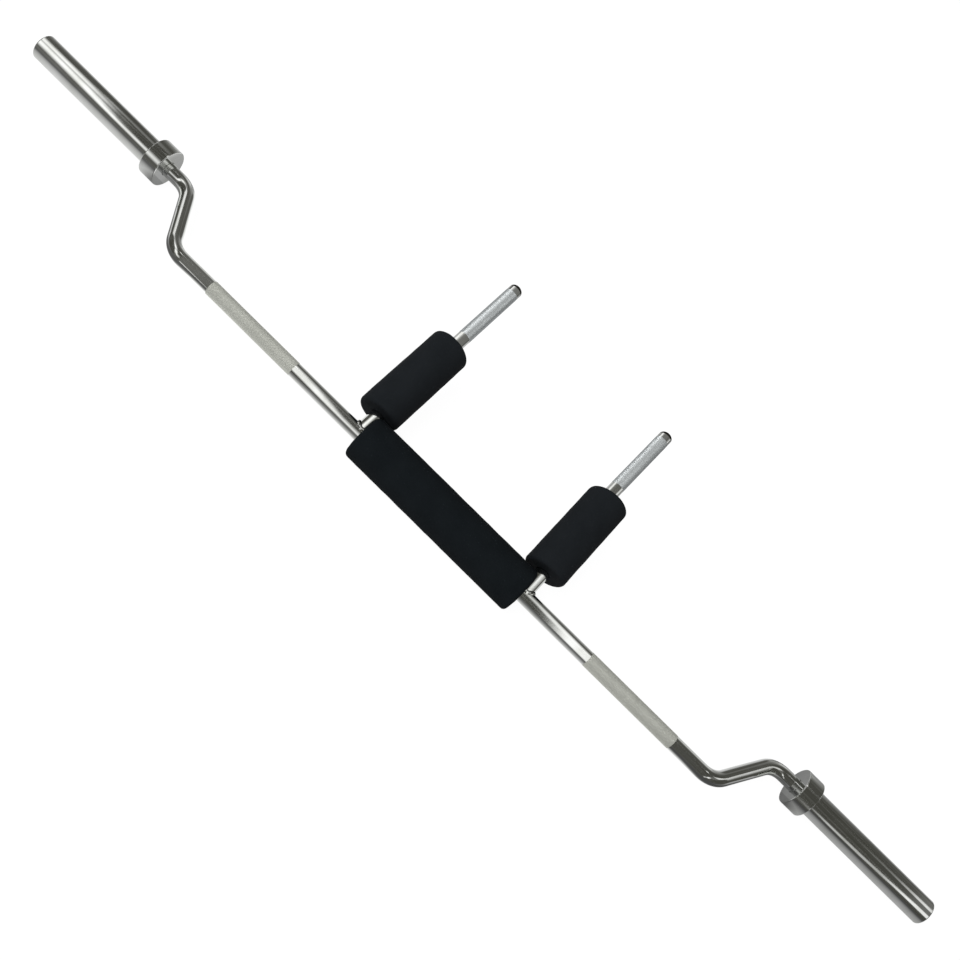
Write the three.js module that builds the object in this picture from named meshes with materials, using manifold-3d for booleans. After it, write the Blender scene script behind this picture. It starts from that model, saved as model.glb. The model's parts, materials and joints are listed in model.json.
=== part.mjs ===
// Safety squat bar: a chromed shaft with a double bend near each end, a foam roll for the neck,
// two padded handle arms and a plate sleeve that turns on each end.
// Lengths are millimetres. +X runs along the bar, +Y is the way the handles point and +Z is up.
// The bar lies on the floor on its neck roll and its two collars, which tips the handles up.

import * as THREE from 'three';
import { mergeVertices } from 'three/addons/utils/BufferGeometryUtils.js';
import Module from 'manifold-3d';

const wasm = await Module();
wasm.setup();

// Whole bar
const overallLength = 2200;
const fitGap = 0.3; // between pieces that are welded, pressed or slid onto each other
const overrun = 5; // how far a cutter runs past what it cuts

// Shaft
const shaftDiameter = 28;
const camberForward = 120; // the sleeve axis lies this far in front of the shaft axis
const camberDrop = 40; // and this far below it, with the handles level
const bendRun = 91; // along X, from one bend corner to the other
const bendRadius = 50;
const bendToCollar = 51; // from the outer bend corner to the collar
const knurlHeight = 0.25; // the knurled bands stand this proud
const shaftKnurlLength = 200;
const shaftKnurlToBend = 92; // from the band to the inner bend corner

// Journal of the shaft inside each sleeve
const journalStep = 1.5; // the journal is turned down by this all round
const shoulderInset = 8; // from the collar face to the shoulder
const ringGrooveDepth = 1.2;
const ringLand = 4; // journal left outside the ring groove
const journalChamfer = 1;

// Sleeve and what it holds
const sleeveLoadLength = 282; // from the collar to the end, where plates go
const sleeveDiameter = 50;
const sleeveEdgeRadius = 2;
const sleeveBoreChamfer = 0.8;
const collarDiameter = 76;
const collarThickness = 34;
const collarLip = 6; // the collar's inner wall, which hides the end of the sleeve
const collarChamfer = 1.2;
const lipClearance = 0.6;
const bushingWall = 5;
const bushingLength = 40;
const washerThickness = 2;
const washerClearance = 1.2; // from a washer's rim to the sleeve bore
const snapRingThickness = 1.6;
const snapRingWall = 3.4;
const snapRingOpening = 6; // across the ring's open ends
const endCapThickness = 8;
const endCapRecess = 1.5;
const endCapChamfer = 0.8;
const endCapDishDiameter = 20;
const endCapDishDepth = 1;
const endCapToJournal = 4;

// Handle arms
const armSpacing = 392; // between the two arm axes
const armUndersize = 1; // the arm tube is this much slimmer than the shaft
const armWall = 3.5;
const armBareLength = 32; // between the pad and the grip's knurling
const gripKnurlLength = 136;
const gripTipLength = 21; // from the knurling to the tip of the plug
const plugDomeHeight = 9.5;
const plugStemLength = 16;
const weldLeg = 4.5;
const weldBulge = 0.9;
const weldGap = 0.45; // from the weld's flat facets to the round tubes that it joins

// Foam
const neckPadDiameter = 88;
const neckPadToArmAxis = 5; // the neck roll stops this far short of each arm axis
const armPadDiameter = 82;
const armPadLength = 190;
const padSpacing = 10; // between the neck roll and each arm pad
const padEdgeRadius = 8;
const padBoreRounding = 2;
const padArmClearance = 0.6;

// Facets round each kind of piece, and steps round each bend
const shaftSides = 32;
const sleeveSides = 40;
const smallSides = 24;
const padSides = 36;
const bendSteps = 7;
const edgeSteps = 4;
const smallEdgeSteps = 2;
const domeSteps = 5;

// Radii and stations that follow from the sizes above
const shaftRadius = shaftDiameter / 2;
const journalRadius = shaftRadius - journalStep;
const bushingBore = journalRadius + fitGap;
const bushingRadius = bushingBore + bushingWall;
const sleeveBoreRadius = bushingRadius + fitGap;
const washerRadius = sleeveBoreRadius - washerClearance;
const armRadius = (shaftDiameter - armUndersize) / 2;
const neckPadRadius = neckPadDiameter / 2;
const collarRadius = collarDiameter / 2;

const camber = Math.hypot(camberForward, camberDrop);
const bendAngle = Math.atan2(camber, bendRun);
const bendTangent = bendRadius * Math.tan(bendAngle / 2);
const collarX = overallLength / 2 - sleeveLoadLength - collarThickness;
const outerBendX = collarX - bendToCollar;
const innerBendX = outerBendX - bendRun;
const shaftKnurlEnd = innerBendX - shaftKnurlToBend;
const shaftKnurlStart = shaftKnurlEnd - shaftKnurlLength;

// Stations along a sleeve, counted outwards from the collar's inner face
const sleeveEnd = collarThickness + sleeveLoadLength;
const endCapFace = sleeveEnd - endCapRecess;
const endCapBack = endCapFace - endCapThickness;
const journalEnd = endCapBack - endCapToJournal;
const grooveEnd = journalEnd - ringLand;
const grooveStart = grooveEnd - snapRingThickness - 2 * fitGap;
const snapRingStart = grooveStart + fitGap;
const outerWasherStart = snapRingStart - fitGap - washerThickness;
const outerBushingStart = outerWasherStart - fitGap - bushingLength;
const innerWasherStart = shoulderInset + fitGap;
const innerBushingStart = innerWasherStart + washerThickness + fitGap;

// Stations along an arm, counted from the shaft axis
const armPadStart = neckPadRadius + padSpacing;
const armPadEnd = armPadStart + armPadLength;
const gripKnurlStart = armPadEnd + armBareLength;
const gripKnurlEnd = gripKnurlStart + gripKnurlLength;
const armReach = gripKnurlEnd + gripTipLength;
const armTubeEnd = armReach - plugDomeHeight - fitGap;

// The floor touches a flat facet of the neck roll and of each collar
const neckPadHeight = neckPadRadius * Math.cos(Math.PI / padSides);
const collarHeight = collarRadius * Math.cos(Math.PI / sleeveSides);
const restTilt = Math.atan2(camberDrop, camberForward) - Math.asin((neckPadHeight - collarHeight) / camber);

const chrome = { color: 0xc9cbcc, roughness: 0.14, metalness: 1 };
const turnedSteel = { color: 0x8f9295, roughness: 0.38, metalness: 1 };
const springSteel = { color: 0x4b4e52, roughness: 0.42, metalness: 1 };
const bronze = { color: 0xb08a4f, roughness: 0.4, metalness: 1 };
const foam = { color: 0x1b1e20, roughness: 0.95, metalness: 0 };

// Welds shared corners, drops triangles that shrank to a line and turns the faces outwards
function closedGeometry(source) {
  const bare = source.clone();
  bare.deleteAttribute('normal');
  bare.deleteAttribute('uv');
  const geometry = mergeVertices(bare);
  const corners = geometry.index.array;
  const position = geometry.attributes.position;
  const a = new THREE.Vector3();
  const b = new THREE.Vector3();
  const c = new THREE.Vector3();
  const kept = [];
  let volume = 0;
  for (let i = 0; i < corners.length; i += 3) {
    const [p, q, r] = [corners[i], corners[i + 1], corners[i + 2]];
    if (p === q || q === r || r === p) continue;
    kept.push(p, q, r);
    a.fromBufferAttribute(position, p);
    b.fromBufferAttribute(position, q);
    c.fromBufferAttribute(position, r);
    volume += a.dot(b.cross(c));
  }
  geometry.setIndex(volume < 0 ? kept.reverse() : kept);
  return geometry;
}

function toManifold(geometry) {
  const closed = closedGeometry(geometry);
  const vertProperties = new Float32Array(closed.attributes.position.array);
  const triVerts = new Uint32Array(closed.index.array);
  return new wasm.Manifold(new wasm.Mesh({ numProp: 3, vertProperties, triVerts }));
}

function fromManifold(manifold) {
  const { vertProperties, triVerts } = manifold.getMesh();
  const geometry = new THREE.BufferGeometry();
  geometry.setAttribute('position', new THREE.BufferAttribute(vertProperties, 3));
  geometry.setIndex(Array.from(triVerts));
  return geometry;
}

function cut(geometry, ...cutters) {
  let manifold = toManifold(geometry);
  for (const cutter of cutters) manifold = manifold.subtract(toManifold(cutter));
  return fromManifold(manifold);
}

function piece(name, geometry, finish) {
  const closed = geometry.index && !geometry.attributes.uv ? geometry : closedGeometry(geometry);
  closed.computeVertexNormals();
  const mesh = new THREE.Mesh(closed, new THREE.MeshStandardMaterial({ ...finish, flatShading: true }));
  mesh.name = name;
  return mesh;
}

// An outline is a list of [along, radius]. Turned about the Y axis:
function turnedOnY(outline, sides, startAngle = 0) {
  const points = outline.map(([along, radius]) => new THREE.Vector2(radius, along));
  return new THREE.LatheGeometry(points, sides, startAngle, 2 * Math.PI);
}

// The same about the X axis
function turnedOnX(outline, sides, startAngle = 0) {
  return turnedOnY(outline, sides, startAngle).rotateZ(-Math.PI / 2);
}

function closeOutline(outline) {
  return [...outline, outline[0]];
}

// A quarter round from one direction to the next, as [along, radius] points
function roundedCorner(alongCentre, radiusCentre, size, fromAngle, toAngle, steps) {
  const points = [];
  for (let i = 0; i <= steps; i += 1) {
    const angle = THREE.MathUtils.lerp(fromAngle, toAngle, i / steps);
    points.push([alongCentre + size * Math.cos(angle), radiusCentre + size * Math.sin(angle)]);
  }
  return points;
}

function plainRing(start, length, inner, outer) {
  const end = start + length;
  return closeOutline([[start, inner], [start, outer], [end, outer], [end, inner]]);
}

// One half of the shaft, from the middle outwards, as rings that lie in the plane of the bends:
// x along the bar, rise towards the sleeve axis, slope of the axis there, and radius
function halfShaftRings() {
  const rings = [];
  const ring = (x, rise, slope, radius) => rings.push({ x, rise, slope, radius });
  const bandRadius = shaftRadius + knurlHeight;
  ring(shaftKnurlStart, 0, 0, shaftRadius);
  ring(shaftKnurlStart + knurlHeight, 0, 0, bandRadius);
  ring(shaftKnurlEnd - knurlHeight, 0, 0, bandRadius);
  ring(shaftKnurlEnd, 0, 0, shaftRadius);
  for (let i = 0; i <= bendSteps; i += 1) {
    const slope = bendAngle * i / bendSteps;
    const x = innerBendX - bendTangent + bendRadius * Math.sin(slope);
    ring(x, bendRadius * (1 - Math.cos(slope)), slope, shaftRadius);
  }
  for (let i = bendSteps; i >= 0; i -= 1) {
    const slope = bendAngle * i / bendSteps;
    const x = outerBendX + bendTangent - bendRadius * Math.sin(slope);
    ring(x, camber - bendRadius * (1 - Math.cos(slope)), slope, shaftRadius);
  }
  const grooveRadius = journalRadius - ringGrooveDepth;
  const journal = (along, radius) => ring(collarX + along, camber, 0, radius);
  journal(shoulderInset, shaftRadius);
  journal(shoulderInset, journalRadius);
  journal(grooveStart, journalRadius);
  journal(grooveStart, grooveRadius);
  journal(grooveEnd, grooveRadius);
  journal(grooveEnd, journalRadius);
  journal(journalEnd - journalChamfer, journalRadius);
  journal(journalEnd, journalRadius - journalChamfer);
  return rings;
}

function shaftGeometry() {
  const right = halfShaftRings();
  const left = right.map((ring) => ({ ...ring, x: -ring.x, slope: -ring.slope })).reverse();
  const rings = [...left, ...right];
  const along = new THREE.Vector3(1, 0, 0);
  const towardsSleeve = new THREE.Vector3(0, camberForward, -camberDrop).normalize();
  const across = new THREE.Vector3().crossVectors(along, towardsSleeve);
  const positions = [];
  const indices = [];
  const centreOf = (ring) => new THREE.Vector3(ring.x, 0, 0).addScaledVector(towardsSleeve, ring.rise);
  for (const ring of rings) {
    const centre = centreOf(ring);
    const outward = towardsSleeve.clone().multiplyScalar(Math.cos(ring.slope));
    outward.addScaledVector(along, -Math.sin(ring.slope));
    for (let side = 0; side < shaftSides; side += 1) {
      const angle = 2 * Math.PI * side / shaftSides;
      const corner = centre.clone().addScaledVector(outward, ring.radius * Math.cos(angle));
      corner.addScaledVector(across, ring.radius * Math.sin(angle));
      positions.push(...corner);
    }
  }
  const leftCentre = positions.length / 3;
  positions.push(...centreOf(rings[0]), ...centreOf(rings[rings.length - 1]));
  const lastRing = (rings.length - 1) * shaftSides;
  for (let side = 0; side < shaftSides; side += 1) {
    const next = (side + 1) % shaftSides;
    for (let start = 0; start < lastRing; start += shaftSides) {
      const end = start + shaftSides;
      indices.push(start + side, end + side, end + next, start + side, end + next, start + next);
    }
    indices.push(leftCentre, side, next);
    indices.push(leftCentre + 1, lastRing + next, lastRing + side);
  }
  const geometry = new THREE.BufferGeometry();
  geometry.setAttribute('position', new THREE.Float32BufferAttribute(positions, 3));
  geometry.setIndex(indices);
  return closedGeometry(geometry);
}

function armTubeGeometry() {
  const bandRadius = armRadius + knurlHeight;
  const boreRadius = armRadius - armWall;
  const tube = turnedOnY(closeOutline([
    [0, boreRadius],
    [0, armRadius],
    [gripKnurlStart, armRadius],
    [gripKnurlStart + knurlHeight, bandRadius],
    [gripKnurlEnd - knurlHeight, bandRadius],
    [gripKnurlEnd, armRadius],
    [armTubeEnd, armRadius],
    [armTubeEnd, boreRadius],
  ]), smallSides);
  const cutterRadius = shaftRadius + fitGap;
  const cutterLength = 2 * (armRadius + overrun);
  const shaftCutter = new THREE.CylinderGeometry(cutterRadius, cutterRadius, cutterLength, shaftSides);
  return cut(tube, shaftCutter.rotateZ(Math.PI / 2));
}

// The weld runs round the saddle where the arm meets the shaft. Each section has its root in the
// corner, a toe on the arm, a crown and a toe on the shaft.
function armWeldGeometry() {
  const armSurface = armRadius + weldGap;
  const shaftSurface = shaftRadius + weldGap;
  const positions = [];
  const indices = [];
  for (let side = 0; side < shaftSides; side += 1) {
    const angle = 2 * Math.PI * side / shaftSides;
    const x = armSurface * Math.cos(angle);
    const z = armSurface * Math.sin(angle);
    const turn = Math.asin(z / shaftSurface);
    const root = new THREE.Vector3(x, shaftSurface * Math.cos(turn), z);
    const armToe = root.clone().add(new THREE.Vector3(0, weldLeg, 0));
    const toeTurn = turn + weldLeg * Math.sin(angle) / shaftSurface;
    const toeX = x + weldLeg * Math.cos(angle);
    const shaftToe = new THREE.Vector3(toeX, shaftSurface * Math.cos(toeTurn), shaftSurface * Math.sin(toeTurn));
    const outward = new THREE.Vector3(Math.cos(angle), Math.cos(turn), Math.sin(angle) + Math.sin(turn));
    const crown = armToe.clone().lerp(shaftToe, 0.5).addScaledVector(outward.normalize(), weldBulge);
    positions.push(...root, ...armToe, ...crown, ...shaftToe);
  }
  const corners = 4;
  for (let side = 0; side < shaftSides; side += 1) {
    for (let corner = 0; corner < corners; corner += 1) {
      const here = side * corners;
      const there = ((side + 1) % shaftSides) * corners;
      const next = (corner + 1) % corners;
      indices.push(here + corner, there + corner, there + next, here + corner, there + next, here + next);
    }
  }
  const geometry = new THREE.BufferGeometry();
  geometry.setAttribute('position', new THREE.Float32BufferAttribute(positions, 3));
  geometry.setIndex(indices);
  return closedGeometry(geometry);
}

// The plug closes the arm tube with a low dome as wide as the tube
function gripPlugGeometry() {
  const stemRadius = armRadius - armWall - fitGap;
  const domeBase = armTubeEnd + fitGap;
  const outline = [
    [domeBase - plugStemLength, 0],
    [domeBase - plugStemLength, stemRadius],
    [domeBase, stemRadius],
  ];
  for (let i = 0; i < domeSteps; i += 1) {
    const angle = Math.PI / 2 * i / domeSteps;
    outline.push([domeBase + plugDomeHeight * Math.sin(angle), armRadius * Math.cos(angle)]);
  }
  outline.push([armReach, 0]);
  return turnedOnY(outline, smallSides);
}

// A foam tube with rounded ends, as an outline of [along, radius]
function padOutline(start, end, boreRadius, outerRadius) {
  const outerCentre = outerRadius - padEdgeRadius;
  const boreCentre = boreRadius + padBoreRounding;
  return closeOutline([
    ...roundedCorner(start + padBoreRounding, boreCentre, padBoreRounding, -Math.PI / 2, -Math.PI, smallEdgeSteps),
    ...roundedCorner(start + padEdgeRadius, outerCentre, padEdgeRadius, Math.PI, Math.PI / 2, edgeSteps),
    ...roundedCorner(end - padEdgeRadius, outerCentre, padEdgeRadius, Math.PI / 2, 0, edgeSteps),
    ...roundedCorner(end - padBoreRounding, boreCentre, padBoreRounding, 0, -Math.PI / 2, smallEdgeSteps),
  ]);
}

// The neck roll is notched at both ends, where it closes round the arms and their welds
function neckPadGeometry() {
  const halfLength = armSpacing / 2 - neckPadToArmAxis;
  const outline = padOutline(-halfLength, halfLength, shaftRadius + fitGap, neckPadRadius);
  const startAngle = Math.PI / padSides - restTilt;
  const notchRadius = armRadius + padArmClearance;
  const weldTop = shaftRadius + weldLeg + weldBulge + padArmClearance;
  const notchOutline = [
    [0, 0],
    [0, notchRadius + weldLeg + weldBulge],
    [shaftRadius + padArmClearance, notchRadius + weldLeg + weldBulge],
    [weldTop + weldBulge, notchRadius],
    [neckPadRadius + overrun, notchRadius],
    [neckPadRadius + overrun, 0],
  ];
  const notchAt = (x) => turnedOnY(notchOutline, smallSides).translate(x, 0, 0);
  return cut(turnedOnX(outline, padSides, startAngle), notchAt(-armSpacing / 2), notchAt(armSpacing / 2));
}

function armPadGeometry() {
  return turnedOnY(padOutline(armPadStart, armPadEnd, armRadius + fitGap, armPadDiameter / 2), padSides);
}

function sleeveGeometry() {
  const start = collarLip + fitGap;
  const outerRadius = sleeveDiameter / 2;
  return turnedOnX(closeOutline([
    [start, sleeveBoreRadius],
    [start, outerRadius],
    ...roundedCorner(
      sleeveEnd - sleeveEdgeRadius, outerRadius - sleeveEdgeRadius, sleeveEdgeRadius, Math.PI / 2, 0, edgeSteps,
    ),
    [sleeveEnd, sleeveBoreRadius + sleeveBoreChamfer],
    [sleeveEnd - sleeveBoreChamfer, sleeveBoreRadius],
  ]), sleeveSides);
}

function collarGeometry(startAngle) {
  const boreRadius = sleeveDiameter / 2 + fitGap;
  return turnedOnX(closeOutline([
    [0, shaftRadius + lipClearance],
    [0, collarRadius - collarChamfer],
    [collarChamfer, collarRadius],
    [collarThickness - collarChamfer, collarRadius],
    [collarThickness, collarRadius - collarChamfer],
    [collarThickness, boreRadius],
    [collarLip, boreRadius],
    [collarLip, shaftRadius + lipClearance],
  ]), sleeveSides, startAngle);
}

function endCapGeometry() {
  const radius = sleeveBoreRadius - fitGap;
  const dishRadius = endCapDishDiameter / 2;
  return turnedOnX([
    [endCapBack, 0],
    [endCapBack, radius],
    [endCapFace - endCapChamfer, radius],
    [endCapFace, radius - endCapChamfer],
    [endCapFace, dishRadius],
    [endCapFace - endCapDishDepth, dishRadius - endCapDishDepth],
    [endCapFace - endCapDishDepth, 0],
  ], smallSides);
}

// An open ring that springs into the groove near the end of the journal
function snapRingGeometry() {
  const inner = journalRadius - ringGrooveDepth + fitGap;
  const outer = inner + snapRingWall;
  const halfOpening = Math.asin(snapRingOpening / 2 / outer);
  const shape = new THREE.Shape();
  shape.absarc(0, 0, outer, halfOpening, 2 * Math.PI - halfOpening, false);
  shape.absarc(0, 0, inner, 2 * Math.PI - halfOpening, halfOpening, true);
  const options = { depth: snapRingThickness, bevelEnabled: false, curveSegments: smallSides };
  return new THREE.ExtrudeGeometry(shape, options).rotateY(Math.PI / 2).translate(snapRingStart, 0, 0);
}

function addArm(bar, side, x) {
  const arm = new THREE.Group();
  arm.position.x = x;
  arm.add(piece(`${side}_arm_tube`, armTubeGeometry(), chrome));
  arm.add(piece(`${side}_arm_weld`, armWeldGeometry(), chrome));
  arm.add(piece(`${side}_grip_plug`, gripPlugGeometry(), chrome));
  arm.add(piece(`${side}_arm_pad`, armPadGeometry(), foam));
  bar.add(arm);
}

// The sleeve, its collar, bushings and cap turn together. The washers and the ring stay on the shaft.
function addSleeve(bar, side, direction) {
  const washer = (start) => plainRing(start, washerThickness, journalRadius + fitGap, washerRadius);
  const bushing = (start) => plainRing(start, bushingLength, bushingBore, bushingRadius);
  const collarAngle = Math.PI / sleeveSides - direction * restTilt;
  const end = new THREE.Group();
  end.position.set(direction * collarX, camberForward, -camberDrop);
  end.rotation.y = direction > 0 ? 0 : Math.PI;
  end.add(piece(`${side}_sleeve`, sleeveGeometry(), chrome));
  end.add(piece(`${side}_sleeve_collar`, collarGeometry(collarAngle), chrome));
  end.add(piece(`${side}_inner_bushing`, turnedOnX(bushing(innerBushingStart), smallSides), bronze));
  end.add(piece(`${side}_outer_bushing`, turnedOnX(bushing(outerBushingStart), smallSides), bronze));
  end.add(piece(`${side}_end_cap`, endCapGeometry(), turnedSteel));
  end.add(piece(`${side}_thrust_washer`, turnedOnX(washer(innerWasherStart), smallSides), turnedSteel));
  end.add(piece(`${side}_retaining_washer`, turnedOnX(washer(outerWasherStart), smallSides), turnedSteel));
  end.add(piece(`${side}_snap_ring`, snapRingGeometry(), springSteel));
  bar.add(end);
}

const bar = new THREE.Group();
bar.add(piece('shaft', shaftGeometry(), chrome));
bar.add(piece('neck_pad', neckPadGeometry(), foam));
addArm(bar, 'left', -armSpacing / 2);
addArm(bar, 'right', armSpacing / 2);
addSleeve(bar, 'left', -1);
addSleeve(bar, 'right', 1);
bar.rotation.x = restTilt;
bar.position.z = neckPadHeight;

// The origin lies on the floor, under the middle of the bar's box
const model = new THREE.Group();
model.add(bar);
model.updateMatrixWorld(true);
const middle = new THREE.Box3().setFromObject(model, true).getCenter(new THREE.Vector3());
bar.position.y = -middle.y;

export default model;
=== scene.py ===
import bmesh
import bpy
import json
import math
from functools import partial
from mathutils import Matrix, Vector, noise


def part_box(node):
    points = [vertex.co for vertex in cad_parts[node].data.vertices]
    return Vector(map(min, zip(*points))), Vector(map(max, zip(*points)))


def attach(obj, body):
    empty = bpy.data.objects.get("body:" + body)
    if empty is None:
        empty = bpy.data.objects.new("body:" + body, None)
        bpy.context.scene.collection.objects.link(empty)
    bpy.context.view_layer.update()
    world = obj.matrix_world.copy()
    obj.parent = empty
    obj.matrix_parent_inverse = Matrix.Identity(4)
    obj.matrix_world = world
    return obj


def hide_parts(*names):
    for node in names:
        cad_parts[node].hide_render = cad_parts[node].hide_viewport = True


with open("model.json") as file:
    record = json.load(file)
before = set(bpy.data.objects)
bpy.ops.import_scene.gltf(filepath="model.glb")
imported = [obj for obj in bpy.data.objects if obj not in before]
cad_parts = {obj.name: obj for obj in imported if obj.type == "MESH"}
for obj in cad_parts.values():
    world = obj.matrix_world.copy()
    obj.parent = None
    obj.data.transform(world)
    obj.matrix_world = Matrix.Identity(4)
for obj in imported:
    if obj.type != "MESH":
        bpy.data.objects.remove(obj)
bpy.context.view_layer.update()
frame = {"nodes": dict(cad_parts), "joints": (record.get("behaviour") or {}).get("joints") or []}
print("frame loaded")

mm = 0.001
steadyGap = 0.15 * mm     # from a rounded edge to the ring that only steadies its shading


# Where the bar lies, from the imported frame. The level bar has its arms along +Y.

def middleOf(node):
    low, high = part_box(node)
    return (low + high) / 2


rollMiddle = middleOf("neck_pad")
armPadMiddle = middleOf("right_arm_pad")
restTilt = math.atan2(armPadMiddle.z - rollMiddle.z, armPadMiddle.y - rollMiddle.y)
barPlace = Matrix.Translation((0, rollMiddle.y, rollMiddle.z)) @ Matrix.Rotation(restTilt, 4, "X")
armX = armPadMiddle.x
sleeveLine = Vector(frame["joints"][0]["pos_m"])
sleeveLine.x = 0

# A turned piece is built along +X, then put in place by one of these.
endPlace = {
    "left": Matrix.Translation(sleeveLine) @ Matrix.Rotation(math.pi, 4, "Z"),
    "right": Matrix.Translation(sleeveLine),
}
forward = Matrix.Rotation(math.pi / 2, 4, "Z")
armPlace = {
    "left": barPlace @ Matrix.Translation((-armX, 0, 0)) @ forward,
    "right": barPlace @ Matrix.Translation((armX, 0, 0)) @ forward,
}

shaft = {
    "radius": 14 * mm,
    "bendRadius": 50 * mm,
    "bendSteps": 40,
    "innerBendX": 644.5 * mm,
    "outerBendX": 730.5 * mm,
    "endX": 792 * mm,
    "camberForward": 120 * mm,
    "camberDrop": 40 * mm,
    "sides": 96,
    "step": 4 * mm,
}
arm = {
    "radius": 13.5 * mm,
    "wall": 3.5 * mm,
    "tubeEnd": 423.2 * mm,
    "edge": 0.5 * mm,
    "reach": 433 * mm,
    "padStart": 54 * mm,
    "padEnd": 244 * mm,
    "knurlStart": 276 * mm,
    "knurlEnd": 412 * mm,
    "ringStep": 6 * mm,
}


# Materials

def newMaterial(name, bare=False):
    material = bpy.data.materials.new(name)
    material.use_nodes = True
    if bare:
        material.node_tree.nodes.clear()
    return material, material.node_tree


def wire(node, values):
    # an input is linked to a socket, or set to a plain value
    for key, value in values.items():
        if isinstance(value, bpy.types.NodeSocket):
            node.id_data.links.new(value, node.inputs[key])
        else:
            node.inputs[key].default_value = value


def addNode(tree, kind, values=None, **settings):
    # makes a node and gives its outputs
    node = tree.nodes.new(kind)
    for key, value in settings.items():
        setattr(node, key, value)
    wire(node, values or {})
    return node.outputs


def setShader(material, values):
    wire(material.node_tree.nodes["Principled BSDF"], values)


def ownPlace(tree):
    return addNode(tree, "ShaderNodeTexCoord")["Object"]


def calc(tree, operation, first, second=0.0):
    return addNode(tree, "ShaderNodeMath", {0: first, 1: second}, operation=operation)[0]


def vectorCalc(tree, operation, values, output="Vector"):
    return addNode(tree, "ShaderNodeVectorMath", values, operation=operation)[output]


def blotches(tree, place, size, detail=3.0, roughness=0.55):
    return addNode(tree, "ShaderNodeTexNoise", {
        "Vector": place,
        "Scale": 1 / size,
        "Detail": detail,
        "Roughness": roughness,
    })["Fac"]


def between(tree, value, low, high, fromLow=0.3, fromHigh=0.7):
    return addNode(tree, "ShaderNodeMapRange", {
        "Value": value,
        "From Min": fromLow,
        "From Max": fromHigh,
        "To Min": low,
        "To Max": high,
    })["Result"]


def mixedColor(tree, factor, first, second):
    return addNode(tree, "ShaderNodeMix", {0: factor, 6: first, 7: second}, data_type="RGBA")[2]


def raised(tree, height, distance, strength=1.0, under=None):
    values = {"Height": height, "Distance": distance, "Strength": strength}
    if under:
        values["Normal"] = under
    return addNode(tree, "ShaderNodeBump", values)["Normal"]


chrome = {
    "bright": (0.80, 0.81, 0.80, 1),
    "dull": (0.69, 0.70, 0.67, 1),
    "plugBright": (0.18, 0.17, 0.15, 1),
    "plugDull": (0.11, 0.10, 0.085, 1),
    "plugEdge": (0.15, 0.15, 0.15, 1),
    "smooth": 0.045,
    "worn": 0.13,
    "filmRange": (0.12, 0.42),
    "smudgeSize": 38 * mm,
    "waveSize": 17 * mm,
    "waveHeight": 0.016 * mm,
    "scratchLength": 60 * mm,
    "scratchWidth": 0.7 * mm,
    "scratchHeight": 0.002 * mm,
    "speckSize": 2.2 * mm,
    "speckHeight": 0.002 * mm,
    "collarUnevenness": 0.25,
}


def makeChrome(name, turn, fine, bright, dull, unevenness=1):
    material, tree = newMaterial(name)
    place = ownPlace(tree)
    level = addNode(tree, "ShaderNodeVectorRotate", {
        "Vector": place,
        "Angle": turn,
    }, rotation_type="X_AXIS")["Vector"]
    stretch = addNode(tree, "ShaderNodeMapping", {"Vector": level, "Scale": fine})["Vector"]
    smudges = blotches(tree, place, chrome["smudgeSize"], 4)
    scratches = blotches(tree, stretch, 1, 2, 0.6)
    waves = blotches(tree, place, chrome["waveSize"], 1)
    specks = blotches(tree, place, chrome["speckSize"], 2)
    film = calc(tree, "MULTIPLY", smudges, scratches)
    surface = raised(tree, waves, chrome["waveHeight"] * unevenness)
    surface = raised(tree, specks, chrome["speckHeight"] * unevenness, 1, surface)
    surface = raised(tree, scratches, chrome["scratchHeight"] * unevenness, 1, surface)
    setShader(material, {
        "Base Color": mixedColor(tree, between(tree, smudges, 0, 1), bright, dull),
        "Metallic": 1.0,
        "Roughness": between(tree, film, chrome["smooth"], chrome["worn"], *chrome["filmRange"]),
        "Normal": surface,
    })
    return material


along = 1 / chrome["scratchLength"]
across = 1 / chrome["scratchWidth"]
metal = (chrome["bright"], chrome["dull"])
plugMetal = (chrome["plugBright"], chrome["plugDull"])
barChrome = makeChrome("barChrome", 0, (along, across, across), *metal)
armChrome = makeChrome("armChrome", -restTilt, (across, along, across), *metal)
plugChrome = makeChrome("plugChrome", -restTilt, (across, along, across), *plugMetal)
setShader(plugChrome, {"Specular Tint": chrome["plugEdge"]})
collarChrome = makeChrome("collarChrome", 0, (along, along, along), *metal, chrome["collarUnevenness"])

knurled = {
    "shaft": {
        "worn": (0.94, 0.95, 0.89, 1),
        "valley": (0.60, 0.61, 0.55, 1),
        "metal": 0.72,
        "peakRoughness": 0.26,
        "valleyRoughness": 0.55,
        "edge": (0.45, 0.45, 0.43, 1),
    },
    "grip": {
        "worn": (0.85, 0.88, 0.89, 1),
        "valley": (0.52, 0.55, 0.56, 1),
        "metal": 0.78,
        "peakRoughness": 0.12,
        "valleyRoughness": 0.30,
        "edge": (0.2, 0.2, 0.21, 1),
    },
    "patchSize": 30 * mm,
    "patchWear": (0.7, 1.0),
    "grainSize": 0.5 * mm,
    "grainHeight": 0.02 * mm,
}


def makeKnurled(name, finish):
    material, tree = newMaterial(name)
    place = ownPlace(tree)
    # the colour is darker in the knurl's valleys and lighter on its peaks, more in some patches than others
    peak = addNode(tree, "ShaderNodeAttribute", attribute_name="peak")["Fac"]
    patches = blotches(tree, place, knurled["patchSize"], 4)
    lift = calc(tree, "MULTIPLY", peak, between(tree, patches, *knurled["patchWear"]))
    grain = blotches(tree, place, knurled["grainSize"], 2)
    setShader(material, {
        "Base Color": mixedColor(tree, lift, finish["valley"], finish["worn"]),
        "Metallic": finish["metal"],
        "Specular Tint": finish["edge"],
        "Roughness": between(tree, peak, finish["valleyRoughness"], finish["peakRoughness"], 0, 1),
        "Normal": raised(tree, grain, knurled["grainHeight"]),
    })
    return material


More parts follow.
